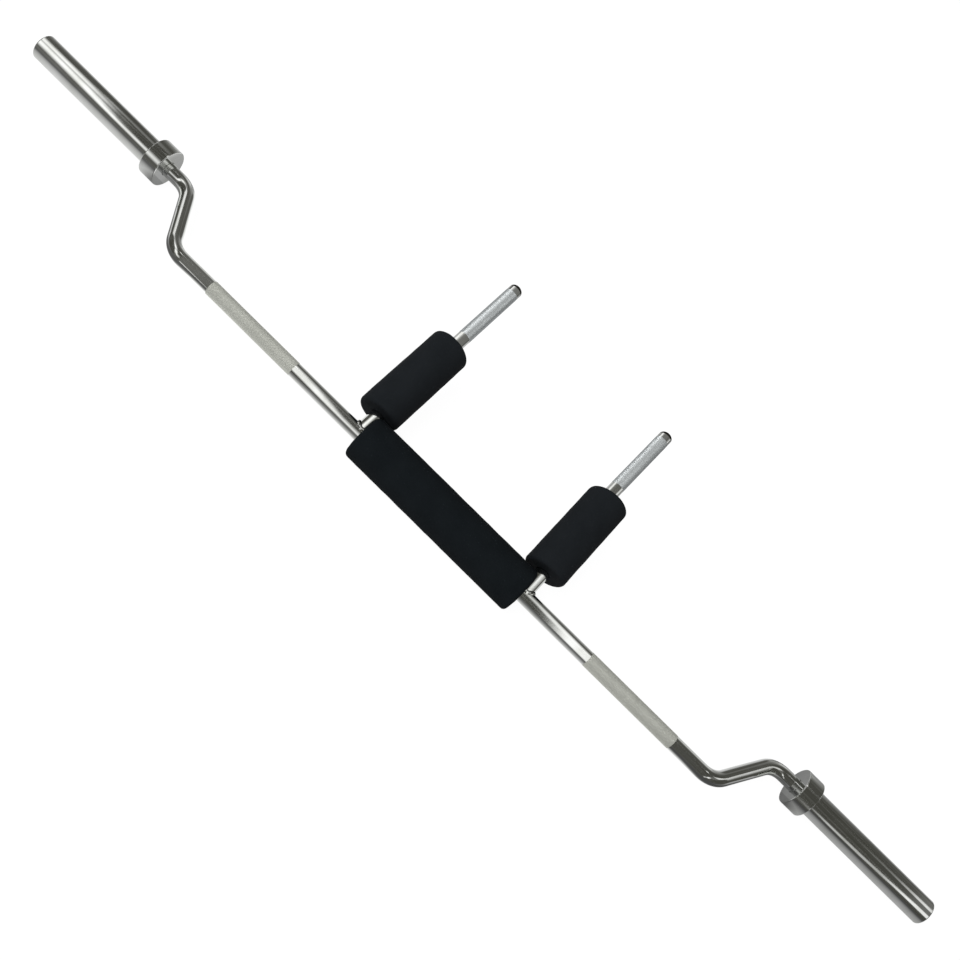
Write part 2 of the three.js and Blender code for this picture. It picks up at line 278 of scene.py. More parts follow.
foam = {
    "arm": {"dark": (0.0062, 0.0077, 0.0092, 1), "pale": (0.0095, 0.0112, 0.0130, 1)},
    # the roll's foam is the arm foam made darker: painted shade, not a different foam
    "roll": {"dark": (0.0030, 0.0044, 0.0055, 1), "pale": (0.0056, 0.0074, 0.0088, 1)},
    "gloss": 0.11,
    "roughness": (0.86, 0.97),
    "patchSize": 45 * mm,
    "patchShare": 0.8,
    "shadeRange": (0.1, 1.3),
    "poreSize": 0.9 * mm,
    "poreDepth": 0.22 * mm,
    "poreStrength": 0.6,
    "skinSize": 6 * mm,
    "skinDepth": 0.15 * mm,
}


def makeFoam(name, shades):
    material, tree = newMaterial(name)
    place = ownPlace(tree)
    pores = addNode(tree, "ShaderNodeTexVoronoi", {"Vector": place, "Scale": 1 / foam["poreSize"]})[0]
    patches = blotches(tree, place, foam["patchSize"], 5)
    shade = calc(tree, "ADD", between(tree, patches, 0, foam["patchShare"]), pores)
    shade = between(tree, shade, 0, 1, *foam["shadeRange"])
    skin = raised(tree, blotches(tree, place, foam["skinSize"], 3), foam["skinDepth"])
    setShader(material, {
        "Base Color": mixedColor(tree, shade, shades["dark"], shades["pale"]),
        "Specular IOR Level": foam["gloss"],
        "Roughness": between(tree, patches, *foam["roughness"]),
        "Normal": raised(tree, pores, foam["poreDepth"], foam["poreStrength"], skin),
    })
    return material


# Each turned metal has a bright and a dull colour, and its lowest and highest roughness.
turned = {
    "turnedSteel": ((0.50, 0.50, 0.49, 1), (0.40, 0.40, 0.39, 1), 0.22, 0.42),
    "springSteel": ((0.12, 0.125, 0.135, 1), (0.08, 0.085, 0.09, 1), 0.28, 0.5),
    "bronze": ((0.48, 0.29, 0.11, 1), (0.36, 0.21, 0.08, 1), 0.32, 0.5),
    "ringSize": 0.35 * mm,
    "ringHeight": 0.006 * mm,
    "patchSize": 9 * mm,
}


def makeTurned(name):
    bright, dull, smooth, worn = turned[name]
    material, tree = newMaterial(name)
    place = ownPlace(tree)
    fromAxis = addNode(tree, "ShaderNodeMapping", {"Vector": place, "Location": -sleeveLine})["Vector"]
    flat = vectorCalc(tree, "MULTIPLY", {0: fromAxis, 1: (0, 1, 1)})
    radius = vectorCalc(tree, "LENGTH", {0: flat}, "Value")
    along = addNode(tree, "ShaderNodeSeparateXYZ", {"Vector": place})["X"]
    ringPlace = addNode(tree, "ShaderNodeCombineXYZ", {"X": radius, "Y": along})["Vector"]
    rings = blotches(tree, ringPlace, turned["ringSize"], 1)
    patches = blotches(tree, place, turned["patchSize"], 4)
    setShader(material, {
        "Base Color": mixedColor(tree, between(tree, patches, 0, 1), bright, dull),
        "Metallic": 1.0,
        "Roughness": between(tree, rings, smooth, worn),
        "Normal": raised(tree, rings, turned["ringHeight"]),
    })
    return material


shaftKnurled = makeKnurled("knurledChrome", knurled["shaft"])
gripKnurled = makeKnurled("knurledGrip", knurled["grip"])
blackFoam = makeFoam("blackFoam", foam["arm"])
# the roll gets the darker copy of the foam, which paints shade onto it
rollFoamPaintedShade = makeFoam("rollFoamPaintedShade", foam["roll"])
turnedSteel = makeTurned("turnedSteel")
springSteel = makeTurned("springSteel")
bronze = makeTurned("bronze")
print("materials made")


# Mesh helpers

def dress(obj, body, nodes=()):
    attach(obj, body)
    if nodes:
        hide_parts(*nodes)
    return obj


def newMesh(name, points, faces, edges=()):
    mesh = bpy.data.meshes.new(name)
    mesh.from_pydata(points, edges, faces)
    return mesh


def addObject(name, data):
    obj = bpy.data.objects.new(name, data)
    bpy.context.scene.collection.objects.link(obj)
    return obj


def showMesh(name, mesh, material, sharpAngle=None):
    shell = bmesh.new()
    shell.from_mesh(mesh)
    bmesh.ops.recalc_face_normals(shell, faces=shell.faces)
    shell.to_mesh(mesh)
    shell.free()
    mesh.materials.clear()
    mesh.materials.append(material)
    mesh.shade_smooth()
    if sharpAngle:
        mesh.set_sharp_from_angle(angle=math.radians(sharpAngle))
    return addObject(name, mesh)


def applied(obj):
    # turns an object and its modifiers into a plain mesh
    view = bpy.context.evaluated_depsgraph_get()
    mesh = bpy.data.meshes.new_from_object(obj.evaluated_get(view), depsgraph=view)
    obj.modifiers.clear()
    bpy.data.objects.remove(obj)
    return mesh


def softOutline(corners, closed=True, steps=6):
    # corners are (along, radius, rounding); a rounding becomes an arc with a steadying ring at each end
    points = []
    last = len(corners) - 1
    for index, (along, radius, rounding) in enumerate(corners):
        here = Vector((along, radius))
        if rounding == 0 or (not closed and index in (0, last)):
            points.append(here)
            continue
        back = (Vector(corners[index - 1][:2]) - here).normalized()
        forth = (Vector(corners[(index + 1) % len(corners)][:2]) - here).normalized()
        opening = back.angle(forth)
        centre = here + (back + forth).normalized() * rounding / math.sin(opening / 2)
        reach = rounding / math.tan(opening / 2)
        startArm = here + back * reach - centre
        endArm = here + forth * reach - centre
        sweep = math.pi - opening
        points.append(centre + startArm + back * steadyGap)
        for step in range(steps + 1):
            share = step / steps
            arc = startArm * math.sin((1 - share) * sweep) + endArm * math.sin(share * sweep)
            points.append(centre + arc / math.sin(sweep))
        points.append(centre + endArm + forth * steadyGap)
    return points


def turnedPiece(name, outline, place, material, closed=True, spokes=128, reshape=None, sharpAngle=25):
    points = []
    rings = []
    for along, radius in outline:
        count = spokes if radius > 0 else 1
        rings.append([len(points) + spoke for spoke in range(count)])
        for spoke in range(count):
            angle = 2 * math.pi * spoke / spokes
            point = Vector((along, radius * math.cos(angle), radius * math.sin(angle)))
            points.append(reshape(point) if reshape else point)
    faces = []
    for first, second in zip(rings, rings[1:] + rings[:1] if closed else rings[1:]):
        for spoke in range(spokes):
            after = (spoke + 1) % spokes
            corners = [first[spoke % len(first)], first[after % len(first)]]
            corners += [second[after % len(second)], second[spoke % len(second)]]
            faces.append(list(dict.fromkeys(corners)))
    mesh = newMesh(name, points, faces)
    mesh.transform(place)
    return showMesh(name, mesh, material, sharpAngle)


# Node trees for shapes

def shapeTree(name, sizes):
    tree = bpy.data.node_groups.new(name, "GeometryNodeTree")
    tree.interface.new_socket(name="Geometry", in_out="INPUT", socket_type="NodeSocketGeometry")
    for size, kind in sizes.items():
        tree.interface.new_socket(name=size, in_out="INPUT", socket_type="NodeSocket" + kind)
    tree.interface.new_socket(name="Geometry", in_out="OUTPUT", socket_type="NodeSocketGeometry")
    return tree, addNode(tree, "NodeGroupInput")


def endTree(tree, geometry, material):
    real = addNode(tree, "GeometryNodeRealizeInstances", {"Geometry": geometry})["Geometry"]
    finish = addNode(tree, "GeometryNodeSetMaterial", {"Geometry": real, "Material": material})
    addNode(tree, "NodeGroupOutput", {"Geometry": finish["Geometry"]})


def grow(name, tree, values, points=(), edges=()):
    # runs the tree on a line of points and keeps what it makes as a plain mesh
    source = addObject(name + "Line", newMesh(name + "Line", points, [], edges))
    modifier = source.modifiers.new("shape", "NODES")
    modifier.node_group = tree
    for socket in tree.interface.items_tree:
        if socket.in_out == "INPUT" and socket.name in values:
            modifier[socket.identifier] = values[socket.name]
    return applied(source)


# Shaft

def bentRodTree():
    tree, inputs = shapeTree("bentRod", {
        "Rod Radius": "Float",
        "Bend Radius": "Float",
        "Step": "Float",
        "Sides": "Int",
    })
    line = addNode(tree, "GeometryNodeMeshToCurve", {"Mesh": inputs["Geometry"]})["Curve"]
    bends = addNode(tree, "GeometryNodeFilletCurve", {
        "Curve": line,
        "Count": shaft["bendSteps"],
        "Radius": inputs["Bend Radius"],
        "Limit Radius": True,
    }, mode="POLY")["Curve"]
    path = addNode(tree, "GeometryNodeResampleCurve", {
        "Curve": bends,
        "Length": inputs["Step"],
    }, mode="LENGTH")["Curve"]
    ring = addNode(tree, "GeometryNodeCurvePrimitiveCircle", {
        "Resolution": inputs["Sides"],
        "Radius": inputs["Rod Radius"],
    })["Curve"]
    rod = addNode(tree, "GeometryNodeCurveToMesh", {
        "Curve": path,
        "Profile Curve": ring,
        "Fill Caps": True,
    })["Mesh"]
    endTree(tree, rod, barChrome)
    return tree


def makeShaft():
    halfLine = [
        (shaft["endX"], shaft["camberForward"], -shaft["camberDrop"]),
        (shaft["outerBendX"], shaft["camberForward"], -shaft["camberDrop"]),
        (shaft["innerBendX"], 0, 0),
    ]
    line = [(-x, y, z) for x, y, z in halfLine] + halfLine[::-1]
    edges = [(index, index + 1) for index in range(len(line) - 1)]
    mesh = grow("shaftRod", bentRodTree(), {
        "Rod Radius": shaft["radius"],
        "Bend Radius": shaft["bendRadius"],
        "Step": shaft["step"],
        "Sides": shaft["sides"],
    }, line, edges)
    mesh.transform(barPlace)
    obj = showMesh("shaftRod", mesh, barChrome, sharpAngle=40)
    dress(obj, "bar", ["shaft"])


makeShaft()

journal = {
    "radius": 12.5 * mm,
    "start": 790 * mm,
    "end": 1086.5 * mm,
    "chamfer": 1 * mm,
    "grooveDepth": 1.2 * mm,
    "grooveSlack": 0.3 * mm,
}


def makeJournal(side):
    ringLow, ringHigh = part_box("right_snap_ring")
    grooveStart = ringLow.x - journal["grooveSlack"]
    grooveEnd = ringHigh.x + journal["grooveSlack"]
    radius = journal["radius"]
    grooveRadius = radius - journal["grooveDepth"]
    outline = softOutline([
        (journal["start"], 0, 0),
        (journal["start"], radius, 0),
        (grooveStart, radius, 0),
        (grooveStart, grooveRadius, 0),
        (grooveEnd, grooveRadius, 0),
        (grooveEnd, radius, 0),
        (journal["end"], radius, journal["chamfer"]),
        (journal["end"], 0, 0),
    ], closed=False)
    obj = turnedPiece(f"{side}Journal", outline, endPlace[side], barChrome, closed=False, spokes=96)
    dress(obj, "bar")


for side in endPlace:
    makeJournal(side)
print("shaft made")


# Knurling

knurl = {
    "pitch": 1.6 * mm,
    "shaftDepth": 0.27 * mm,
    "gripDepth": 0.09 * mm,
    "lift": 0.03 * mm,
    "shaftStart": 350 * mm,
    "shaftEnd": 550 * mm,
}


def knurlTree():
    tree, inputs = shapeTree("diamondKnurl", {
        "Valley Radius": "Float",
        "Depth": "Float",
        "Length": "Float",
        "Sides": "Int",
        "Rings": "Int",
        "Finish": "Material",
    })
    band = addNode(tree, "GeometryNodeMeshCylinder", {
        "Vertices": inputs["Sides"],
        "Side Segments": inputs["Rings"],
        "Radius": inputs["Valley Radius"],
        "Depth": inputs["Length"],
    }, fill_type="NGON")["Mesh"]

    def whole(operation, first, second):
        return addNode(tree, "FunctionNodeIntegerMath", {0: first, 1: second}, operation=operation)[0]

    index = addNode(tree, "GeometryNodeInputIndex")["Index"]
    ring = whole("DIVIDE_FLOOR", index, inputs["Sides"])
    spoke = whole("MODULO", index, inputs["Sides"])
    checker = whole("MODULO", whole("ADD", ring, spoke), 2)
    pastFirst = calc(tree, "GREATER_THAN", ring, 0)
    beforeLast = calc(tree, "LESS_THAN", ring, inputs["Rings"])
    peak = calc(tree, "MULTIPLY", checker, calc(tree, "MULTIPLY", pastFirst, beforeLast))
    position = addNode(tree, "GeometryNodeInputPosition")["Position"]
    flat = vectorCalc(tree, "MULTIPLY", {0: position, 1: (1, 1, 0)})
    outward = vectorCalc(tree, "NORMALIZE", {0: flat})
    height = calc(tree, "MULTIPLY", peak, inputs["Depth"])
    push = vectorCalc(tree, "SCALE", {0: outward, "Scale": height})
    marked = addNode(tree, "GeometryNodeStoreNamedAttribute", {
        "Geometry": band,
        "Name": "peak",
        "Value": peak,
    }, data_type="FLOAT", domain="POINT")["Geometry"]
    diamonds = addNode(tree, "GeometryNodeSetPosition", {"Geometry": marked, "Offset": push})["Geometry"]
    facets = addNode(tree, "GeometryNodeTriangulate", {"Mesh": diamonds}, quad_method="SHORTEST_DIAGONAL")
    endTree(tree, facets["Mesh"], inputs["Finish"])
    return tree


diamondTree = knurlTree()


def makeKnurl(name, rodRadius, span, depth, place, finish, reshape=None):
    start, end = span
    mesh = grow(name, diamondTree, {
        "Valley Radius": rodRadius + knurl["lift"],
        "Depth": depth,
        "Length": end - start,
        "Sides": 2 * round(math.pi * rodRadius / knurl["pitch"]),
        "Rings": 2 * round((end - start) / knurl["pitch"]),
        "Finish": finish,
    })
    mesh.transform(Matrix.Translation(((start + end) / 2, 0, 0)) @ Matrix.Rotation(math.pi / 2, 4, "Y"))
    if reshape:
        for vertex in mesh.vertices:
            vertex.co = reshape(vertex.co)
    mesh.transform(place)
    obj = showMesh(name, mesh, finish)
    mesh.shade_flat()
    dress(obj, "bar")


handSpan = (knurl["shaftStart"], knurl["shaftEnd"])
leftPlace = barPlace @ Matrix.Rotation(math.pi, 4, "Z")
makeKnurl("leftHandKnurl", shaft["radius"], handSpan, knurl["shaftDepth"], leftPlace, shaftKnurled)
makeKnurl("rightHandKnurl", shaft["radius"], handSpan, knurl["shaftDepth"], barPlace, shaftKnurled)
print("knurling made")


# Arms

saddle = {
    "sink": 0.25 * mm,
    "fade": 24 * mm,
}
# The right arm of this bar isn't quite straight: it bows aside under the foam and comes back at its tip.
bow = {
    "left": 0,
    "right": 5 * mm,
    "start": 60 * mm,
    "most": 240 * mm,
    "end": 425 * mm,
}


def bowed(side, point):
    # in the arm's own frame +Y points towards -X of the bar
    rise = min(1, max(0, (point.x - bow["start"]) / (bow["most"] - bow["start"])))
    fall = min(1, max(0, (bow["end"] - point.x) / (bow["end"] - bow["most"])))
    aside = bow[side] * rise * rise * (3 - 2 * rise) * fall
    return Vector((point.x, point.y + aside, point.z))


def ontoShaft(point):
    # draws the arm's inner end onto the round of the shaft
    if point.x > saddle["fade"]:
        return point
    surface = math.sqrt(shaft["radius"] ** 2 - point.z ** 2) - saddle["sink"]
    share = point.x / saddle["fade"]
    return Vector((surface + (saddle["fade"] - surface) * share, point.y, point.z))


def makeArmTube(side):
    radius = arm["radius"]
    bore = radius - arm["wall"]
    start = bow["start"]
    end = arm["tubeEnd"]
    count = round((end - start) / arm["ringStep"])
    rings = [start + (end - start) * index / count for index in range(count)]
    corners = [(0, bore, 0), (0, radius, 0), (saddle["fade"], radius, 0)]
    corners += [(along, radius, 0) for along in rings]
    corners += [(end, radius, arm["edge"]), (end, bore, 0)]
    corners += [(along, bore, 0) for along in rings[::-1]]
    corners += [(saddle["fade"], bore, 0)]

    def shaped(point):
        return bowed(side, ontoShaft(point))

    obj = turnedPiece(f"{side}ArmTube", softOutline(corners), armPlace[side], armChrome, reshape=shaped)
    dress(obj, "bar", [f"{side}_arm_tube"])


def makeGripKnurl(side):
    span = (arm["knurlStart"], arm["knurlEnd"])
    shaped = partial(bowed, side)
    place = armPlace[side]
    makeKnurl(f"{side}GripKnurl", arm["radius"], span, knurl["gripDepth"], place, gripKnurled, shaped)


plug = {
    "stem": 16 * mm,
    "stemEdge": 0.8 * mm,
    "seam": 0.3 * mm,
    "rim": 0.5 * mm,
    "rimEdge": 0.25 * mm,
    "inset": 0.15 * mm,
    "domeSteps": 28,
}


def makeGripPlug(side):
    base = arm["tubeEnd"] + plug["seam"]
    stemRadius = arm["radius"] - arm["wall"] - plug["seam"]
    domeRadius = arm["radius"] - plug["inset"]
    domeStart = base + plug["rim"]
    outline = softOutline([
        (base - plug["stem"], 0, 0),
        (base - plug["stem"], stemRadius, plug["stemEdge"]),
        (base, stemRadius, 0),
        (base, domeRadius, plug["rimEdge"]),
        (domeStart, domeRadius, 0),
    ], closed=False)
    for step in range(1, plug["domeSteps"] + 1):
        angle = math.pi / 2 * step / plug["domeSteps"]
        along = domeStart + (arm["reach"] - domeStart) * math.sin(angle)
        outline.append(Vector((along, domeRadius * math.cos(angle) if step < plug["domeSteps"] else 0)))
    shaped = partial(bowed, side)
    obj = turnedPiece(f"{side}GripPlug", outline, armPlace[side], plugChrome, closed=False, reshape=shaped)
    dress(obj, "bar", [f"{side}_grip_plug"])


weld = {
    "leg": 4.5 * mm,
    "bulge": 0.9 * mm,
    "sink": 0.12 * mm,
    "rootDepth": 1.6 * mm,
    "ripples": 30,
    "rippleHeight": 0.045 * mm,
    "rippleSlant": 1.1,
    "stations": 240,
    "sectionSteps": 12,
}


def weldSection(angle):
    # from the toe on the arm, over the crown, to the toe on the shaft, then the root in the corner
    cosine = math.cos(angle)
    sine = math.sin(angle)
    rod = shaft["radius"]
    x = arm["radius"] * cosine
    z = arm["radius"] * sine
    turn = math.asin(z / rod)
    armToe = Vector((x, rod * math.cos(turn) + weld["leg"], z)) - Vector((cosine, 0, sine)) * weld["sink"]
    toeTurn = turn + weld["leg"] * sine / rod
    toeRadius = rod - weld["sink"]
    toeX = x + weld["leg"] * cosine
    shaftToe = Vector((toeX, toeRadius * math.cos(toeTurn), toeRadius * math.sin(toeTurn)))
    outward = Vector((cosine, math.cos(turn), sine + math.sin(turn))).normalized()
    section = []
    for step in range(weld["sectionSteps"] + 1):
        share = step / weld["sectionSteps"]
        swell = math.sin(math.pi * share)
        ripple = math.sin(weld["ripples"] * angle + weld["rippleSlant"] * math.cos(2 * math.pi * share))
        rise = weld["bulge"] * swell + weld["rippleHeight"] * ripple * swell
        section.append(armToe.lerp(shaftToe, share) + outward * rise)
    section.append(Vector((x, rod * math.cos(turn), z)) - outward * weld["rootDepth"])
    return section


def makeWeld(side, middleX):
    count = weld["stations"]
    points = []
    for station in range(count):
        points += weldSection(2 * math.pi * station / count)
    corners = len(points) // count
    faces = []
    for station in range(count):
        here = station * corners
        there = ((station + 1) % count) * corners
        for corner in range(corners):
            after = (corner + 1) % corners
            faces.append((here + corner, there + corner, there + after, here + after))
    name = f"{side}ArmWeld"
    mesh = newMesh(name, points, faces)
    mesh.transform(barPlace @ Matrix.Translation((middleX, 0, 0)))
    obj = showMesh(name, mesh, armChrome, sharpAngle=60)
    dress(obj, "bar", [f"{side}_arm_weld"])


makeWeld("left", -armX)
makeWeld("right", armX)
for side in armPlace:
    makeArmTube(side)
    makeGripKnurl(side)
    makeGripPlug(side)
print("arms made")


# Foam

pad = {
    "rollRadius": 44 * mm,
    "armPadRadius": 41 * mm,
    "edge": 8 * mm,
    "boreEdge": 0.8 * mm,
    "grip": 0.1 * mm,
    "notchGap": 0.5 * mm,
    "voxel": 1.7 * mm,
    "smoothing": 0.5,
    "smoothingRounds": 3,
    "dentSize": 38 * mm,
    "dentDepth": 0.7 * mm,
    "grainSize": 7 * mm,
    "grainDepth": 0.16 * mm,
    "ringStep": 3 * mm,
}
# The foam is cut and pushed on by hand, so no end is quite square. "start" and "end" say where an arm pad's
# ends lie along the arm, on its sides towards -X and +X, and "aside" how far it sits off the tube's middle.
# A seed gives each piece dents of its own.
padCuts = {
    "left": {"start": (44 * mm, 51 * mm), "end": (244 * mm, 241.5 * mm), "aside": -1 * mm, "seed": 11.7},
    "right": {"start": (51 * mm, 58 * mm), "end": (243 * mm, 248 * mm), "aside": 1.2 * mm, "seed": 27.3},
}
rollSeat = {
    "left": 189 * mm,
    "right": 192 * mm,
    "forward": 1.6 * mm,
    "seed": 3.1,
}


def foamTube(start, end, bore, radius):
    # the long sides get rings of their own, so that the dents can shape them
    corners = [(start, bore, pad["boreEdge"]), (start, radius, pad["edge"])]
    count = round((end - start) / pad["ringStep"])
    first = start + pad["edge"] + pad["ringStep"]
    last = end - pad["edge"] - pad["ringStep"]
    for index in range(count + 1):
        corners.append((first + (last - first) * index / count, radius, 0))
    corners += [(end, radius, pad["edge"]), (end, bore, pad["boreEdge"])]
    return softOutline(corners, steps=8)


def dent(mesh, seed):
    shift = Vector((seed, seed * 2.3, seed * 0.7))
    normals = [vertex.normal.copy() for vertex in mesh.vertices]
    for vertex, normal in zip(mesh.vertices, normals):
        broad = noise.noise(vertex.co / pad["dentSize"] + shift)
        fine = noise.noise(vertex.co / pad["grainSize"] + shift)
        depth = pad["dentDepth"] * abs(broad) + pad["grainDepth"] * abs(fine)
        vertex.co -= normal * depth
        vertex.co.z = max(vertex.co.z, 0)


def armNotch(side):
    radius = arm["radius"] + pad["notchGap"]
    collar = radius + weld["leg"] + weld["bulge"]
    weldTop = shaft["radius"] + weld["leg"] + weld["bulge"] + pad["notchGap"]
    outline = [
        (0, 0),
        (0, collar),
        (shaft["radius"], collar),
        (weldTop, radius),
        (2 * pad["rollRadius"], radius),
        (2 * pad["rollRadius"], 0),
    ]
    return turnedPiece(f"{side}Notch", outline, armPlace[side], blackFoam, closed=False, spokes=64)


def offMiddle(point, bore, radius, shift, off):
    # the outside of the foam may sit off the middle, while its bore stays on the steel
    share = (math.hypot(*off) - bore) / (radius - bore)
    return point + shift * min(1, max(0, share))


def makeNeckRoll():
    bore = shaft["radius"] + pad["grip"]
    outline = foamTube(-rollSeat["left"], rollSeat["right"], bore, pad["rollRadius"])
    shift = barPlace.to_3x3().inverted() @ Vector((0, rollSeat["forward"], 0))

    def seated(point):
        return offMiddle(point, bore, pad["rollRadius"], shift, (point.y, point.z))

    roll = turnedPiece("rollBlank", outline, barPlace, blackFoam, spokes=160, reshape=seated)
    notches = [armNotch(side) for side in armPlace]
    for notch in notches:
        notching = roll.modifiers.new("notch", "BOOLEAN")
        notching.object = notch
        notching.solver = "EXACT"
    evening = roll.modifiers.new("evening", "REMESH")
    evening.mode = "VOXEL"
    evening.voxel_size = pad["voxel"]
    softening = roll.modifiers.new("softening", "SMOOTH")
    softening.factor = pad["smoothing"]
    softening.iterations = pad["smoothingRounds"]
    mesh = applied(roll)
    for notch in notches:
        bpy.data.objects.remove(notch)
    dent(mesh, rollSeat["seed"])
    obj = dress(showMesh("neckRoll", mesh, rollFoamPaintedShade), "bar", ["neck_pad"])


def makeArmPad(side):
    bore = arm["radius"] + pad["grip"]
    radius = pad["armPadRadius"]
    cut = padCuts[side]
    outline = foamTube(arm["padStart"], arm["padEnd"], bore, radius)
    shift = Vector((0, -cut["aside"], 0))

    def fitted(point):
        # in the arm's own frame +Y points towards -X of the bar
        share = (1 - point.y / radius) / 2
        start = cut["start"][0] + (cut["start"][1] - cut["start"][0]) * share
        end = cut["end"][0] + (cut["end"][1] - cut["end"][0]) * share
        along = (point.x - arm["padStart"]) / (arm["padEnd"] - arm["padStart"])
        slid = Vector((start + (end - start) * along, point.y, point.z))
        onTube = bowed(side, slid) - slid
        return offMiddle(slid + onTube, bore, radius, shift - onTube, (point.y, point.z))

    name = f"{side}ArmPad"
    obj = turnedPiece(name, outline, armPlace[side], blackFoam, spokes=160, reshape=fitted, sharpAngle=None)
    dent(obj.data, cut["seed"])
    dress(obj, "bar", [f"{side}_arm_pad"])


makeNeckRoll()
for side in armPlace:
    makeArmPad(side)
print("foam made")


# Sleeve ends

sleeve = {
    "edge": 2 * mm,
    "innerEdge": 0.4 * mm,
    "boreEdge": 0.8 * mm,
    "bore": 18.1 * mm,
    "radius": 25 * mm,
}
collar = {
    "edge": 1.5 * mm,
    "nickReach": 1.9 * mm,
    "nickSize": 3.2 * mm,
    "nickDepth": 0.35 * mm,
    "rimRing": 2 * mm,
    "flatRing": 2.8 * mm,
    "mouthEdge": 0.5 * mm,
    "mouth": 14.6 * mm,
    "lip": 6 * mm,
    "seat": 25.15 * mm,
}
cap = {
    "edge": 0.8 * mm,
    "innerEdge": 0.3 * mm,
    "dishRadius": 10 * mm,
    "dishDepth": 1 * mm,
    "dishEdge": 0.4 * mm,
}


def makeSleeve(side):
    low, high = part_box("right_sleeve")
    outline = softOutline([
        (low.x, sleeve["bore"], 0),
        (low.x, sleeve["radius"], sleeve["innerEdge"]),
        (high.x, sleeve["radius"], sleeve["edge"]),
        (high.x, sleeve["bore"], sleeve["boreEdge"]),
    ])
    obj = turnedPiece(f"{side}SleeveTube", outline, endPlace[side], barChrome, spokes=160)
    dress(obj, f"{side}_end", [f"{side}_sleeve"])


def makeCollar(side):
    low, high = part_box("right_sleeve_collar")
    radius = (high.z - low.z) / 2
    # two rings on either side of a rim keep its nicks out of the flat shading
    rimRing = collar["rimRing"]
    flatRing = collar["flatRing"]
    outline = softOutline([
        (low.x, collar["mouth"], collar["mouthEdge"]),
        (low.x, radius - flatRing, 0),
        (low.x, radius - rimRing, 0),
        (low.x, radius, collar["edge"]),
        (low.x + rimRing, radius, 0),
        (low.x + flatRing, radius, 0),
        (high.x - flatRing, radius, 0),
        (high.x - rimRing, radius, 0),
        (high.x, radius, collar["edge"]),
        (high.x, radius - rimRing, 0),
        (high.x, radius - flatRing, 0),
        (high.x, collar["seat"], collar["mouthEdge"]),
        (low.x + collar["lip"], collar["seat"], 0),
        (low.x + collar["lip"], collar["mouth"], 0),
    ])

    def nicked(point):
        # the plates have knocked the rims about a little
        around = math.hypot(point.y, point.z)
        inward = max(0, 1 - min(point.x - low.x, high.x - point.x) / collar["nickReach"])
        outward = max(0, 1 - (radius - around) / collar["nickReach"])
        depth = collar["nickDepth"] * inward * outward * abs(noise.noise(point / collar["nickSize"]))
        share = 1 - depth / around
        return Vector((point.x, point.y * share, point.z * share))

    obj = turnedPiece(f"{side}Collar", outline, endPlace[side], collarChrome, spokes=320, reshape=nicked)
    dress(obj, f"{side}_end", [f"{side}_sleeve_collar"])


def makeEndCap(side):
    low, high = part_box("right_end_cap")
    radius = (high.z - low.z) / 2
    outline = softOutline([
        (low.x, 0, 0),
        (low.x, radius, cap["innerEdge"]),
        (high.x, radius, cap["edge"]),
        (high.x, cap["dishRadius"], cap["dishEdge"]),
        (high.x - cap["dishDepth"], cap["dishRadius"] - cap["dishDepth"], cap["dishEdge"]),
        (high.x - cap["dishDepth"], 0, 0),
    ], closed=False)
    obj = turnedPiece(f"{side}EndCap", outline, endPlace[side], turnedSteel, closed=False)
    dress(obj, f"{side}_end", [f"{side}_end_cap"])


innerMetals = {
    "inner_bushing": bronze,
    "outer_bushing": bronze,
    "thrust_washer": turnedSteel,
    "retaining_washer": turnedSteel,
    "snap_ring": springSteel,
}
for side in endPlace:
    makeSleeve(side)
    makeCollar(side)
    makeEndCap(side)
    for node, material in innerMetals.items():
        frame["nodes"][f"{side}_{node}"].material_slots[0].material = material
print("sleeve ends made")


# Studio

studio = {
    "white": (1, 1, 1, 1),
    "airStrength": 0.62,
    "floorSize": 14,
    "floorShade": (0.8, 0.8, 0.8, 1),
    "floorWhite": 1.05,
    "floorShadow": 0.09,
    "lampPlace": (-1.6, -2.2, 3.2),
    "lampSize": 3.0,
    "lampPower": 150,
}


def glowing(tree, strength, color=studio["white"], kind="ShaderNodeEmission"):
    return addNode(tree, kind, {"Color": color, "Strength": strength})[0]


def mixedShader(tree, factor, first, second):
    return addNode(tree, "ShaderNodeMixShader", {0: factor, 1: first, 2: second})[0]


def seenDirectly(tree):
    rays = addNode(tree, "ShaderNodeLightPath")
    shiny = calc(tree, "MAXIMUM", rays["Is Glossy Ray"], rays["Is Transmission Ray"])
    return calc(tree, "MAXIMUM", rays["Is Camera Ray"], shiny), shiny


def makeWorld():
    world = bpy.data.worlds.new("studioAir")
    world.use_nodes = True
    bpy.context.scene.world = world
    tree = world.node_tree
    tree.nodes.clear()
    light = glowing(tree, studio["airStrength"], kind="ShaderNodeBackground")
    backdrop = glowing(tree, 1.0, kind="ShaderNodeBackground")
    seen, shiny = seenDirectly(tree)
    addNode(tree, "ShaderNodeOutputWorld", {"Surface": mixedShader(tree, seen, light, backdrop)})


# Painted light on the paper that only the metal sees: a glow brightest close to the bar and fading away
# from it, with painted shadow under the collars. A row of three is for the bar's middle, its bends and its
# ends. The left half of the paper is painted the lighter one.
paintedSheen = {
    "front": (0.85, 1.05, 0.53),
    "frontScale": (0.055, 0.046, 0.14),
    "frontPower": (1.1, 2, 1.5),
    "far": (0.16, 0.10, 0.10),
    "back": (0.80, 0.9, 0.5),
    "backScale": 0.6,
    "backPower": 1.2,
    "leftRight": (1.28, 0.76),
    "leftRightX": (-0.8, 0.8),
    "collarShade": (0.84, 0.70),
    "collarFrom": (0.72, 0.745),
    "collarTo": (0.80, 0.83),
    "beyond": (0.2, 0.5),
    "beyondX": (0.6, 1.3),
    "beyondFade": (1, 0.15),
    "beyondEnd": (1.7, 2.2),
    "beyondY": (0.9, 1.5),
    "bendX": (0.45, 0.50),
    "endX": (0.75, 0.80),
    "lineX": (0.60, 0.74),
}


